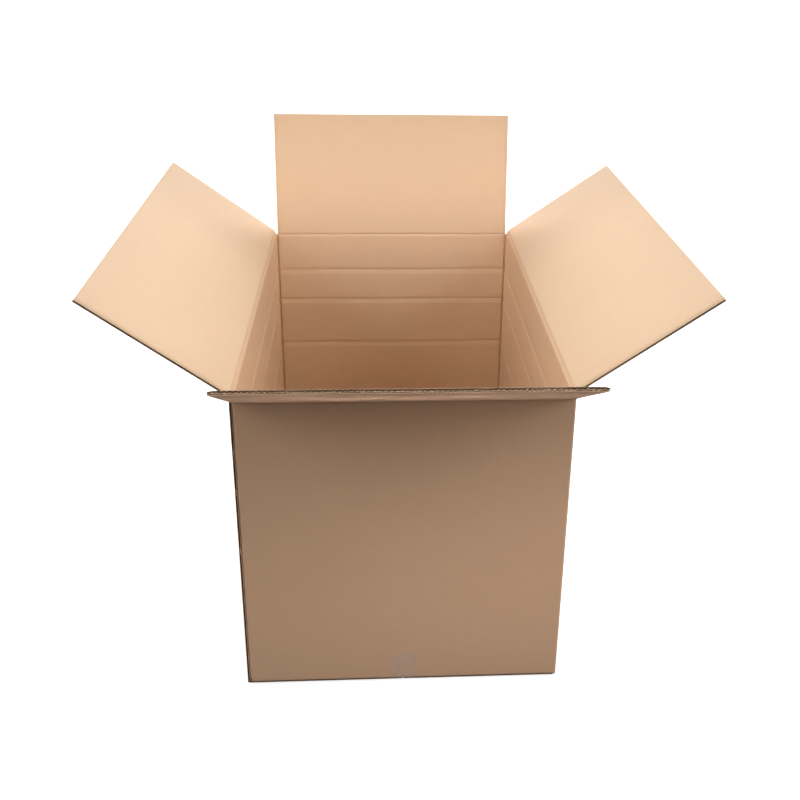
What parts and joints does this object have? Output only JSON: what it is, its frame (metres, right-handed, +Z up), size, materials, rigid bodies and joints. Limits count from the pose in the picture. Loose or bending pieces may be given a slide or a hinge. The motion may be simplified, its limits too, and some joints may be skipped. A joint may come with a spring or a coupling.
{
  "type": "corrugated shipping box",
  "caption": "Open-topped shipping box of double-wall corrugated board, with scored walls, a taped bottom and top flaps that swing on their creases.",
  "frame": {"origin": "centre of the underside, on the bottom seam", "axes": "+X right across the width, +Y from the front wall to the back wall, +Z up"},
  "size_m": [1.1123, 1.3268, 0.9253],
  "materials": {
    "kraft_board": "matt kraft paper",
    "clear_tape": "clear film"
  },
  "bodies": {
    "box": {"box_body": "kraft_board", "bottom_tape": "clear_tape"},
    "front": {"front_flap": "kraft_board"},
    "back": {"back_flap": "kraft_board"},
    "left": {"left_flap": "kraft_board"},
    "right": {"right_flap": "kraft_board"}
  },
  "joints": [
    {"name": "front_crease", "type": "hinge", "parent": "box", "child": "front", "pos_m": [0, -0.507, 0.6213], "axis": [1, 0, 0], "range_deg": [-152, 103]},
    {"name": "back_crease", "type": "hinge", "parent": "box", "child": "back", "pos_m": [0, 0.507, 0.6213], "axis": [-1, 0, 0], "range_deg": [-98, 157]},
    {"name": "left_crease", "type": "hinge", "parent": "box", "child": "left", "pos_m": [-0.307, 0, 0.6286], "axis": [0, -1, 0], "range_deg": [-144, 111]},
    {"name": "right_crease", "type": "hinge", "parent": "box", "child": "right", "pos_m": [0.307, 0, 0.6286], "axis": [0, 1, 0], "range_deg": [-145, 110]}
  ]
}
